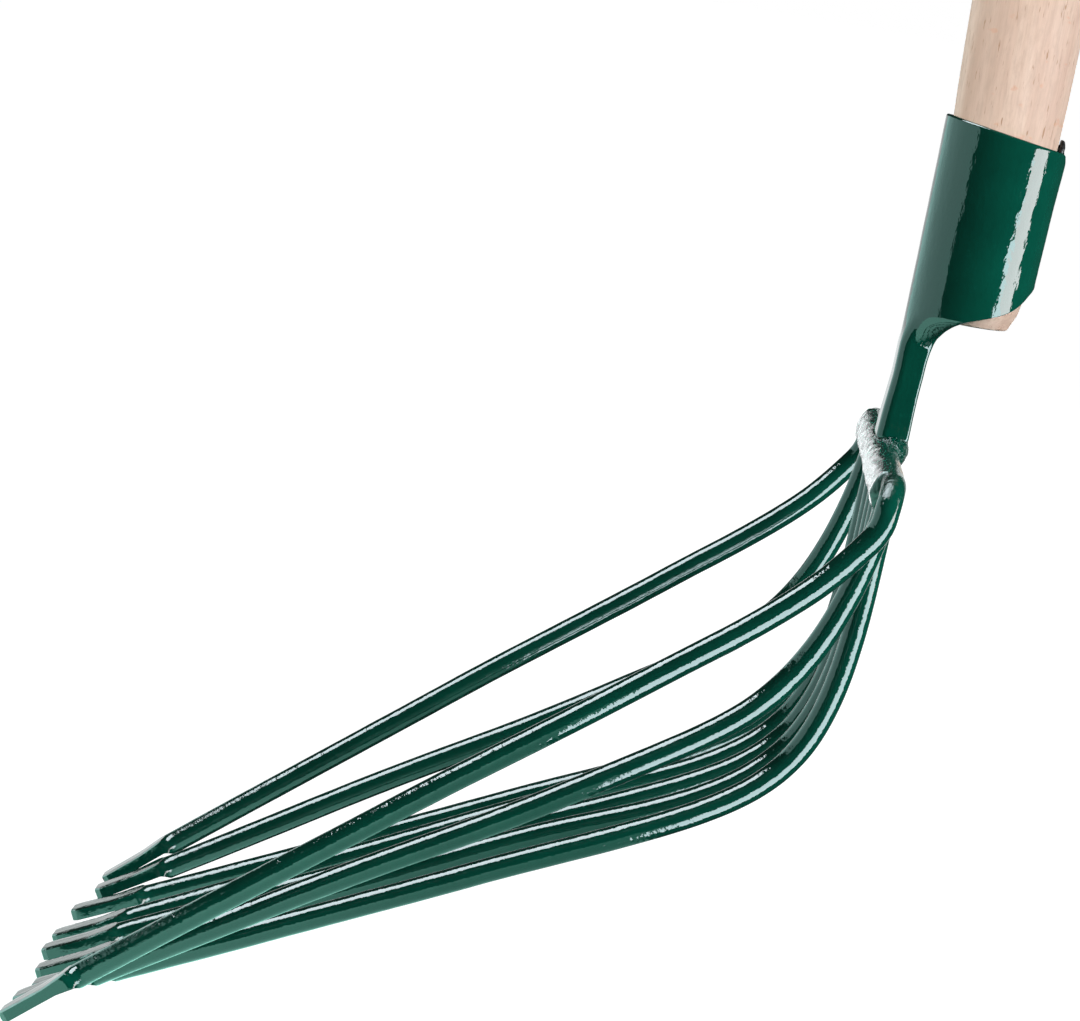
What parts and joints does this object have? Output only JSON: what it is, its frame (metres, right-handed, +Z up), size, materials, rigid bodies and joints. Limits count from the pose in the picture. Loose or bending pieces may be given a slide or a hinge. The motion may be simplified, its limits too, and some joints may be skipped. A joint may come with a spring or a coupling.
{
  "type": "hand rake",
  "caption": "Scoop-shaped rake head of long welded round-rod tines with pressed flat tips, on a sheet-metal socket and a round wooden handle.",
  "frame": {"origin": "on the handle's axis where the lower hand grips it, 480 mm above the socket's mouth", "axes": "+Z up along the handle towards its butt, tines pointing forward towards -X, Y across the head with -Y on the left of a user holding it"},
  "size_m": [0.2948, 0.232, 1.3718],
  "materials": {
    "green_enamel": "glossy dark green enamel over welded steel",
    "beech": "sanded unvarnished pale beech",
    "black_screw": "blackened steel"
  },
  "bodies": {
    "root": {"handle": "beech", "handle_screw": "black_screw", "socket": "green_enamel", "outer_bow": "green_enamel", "tine_left_3": "green_enamel", "tine_left_2": "green_enamel", "tine_left_1": "green_enamel", "tine_centre": "green_enamel", "tine_right_1": "green_enamel", "tine_right_2": "green_enamel", "tine_right_3": "green_enamel", "crossbar_weld": "green_enamel", "neck_weld": "green_enamel"}
  },
  "joints": []
}
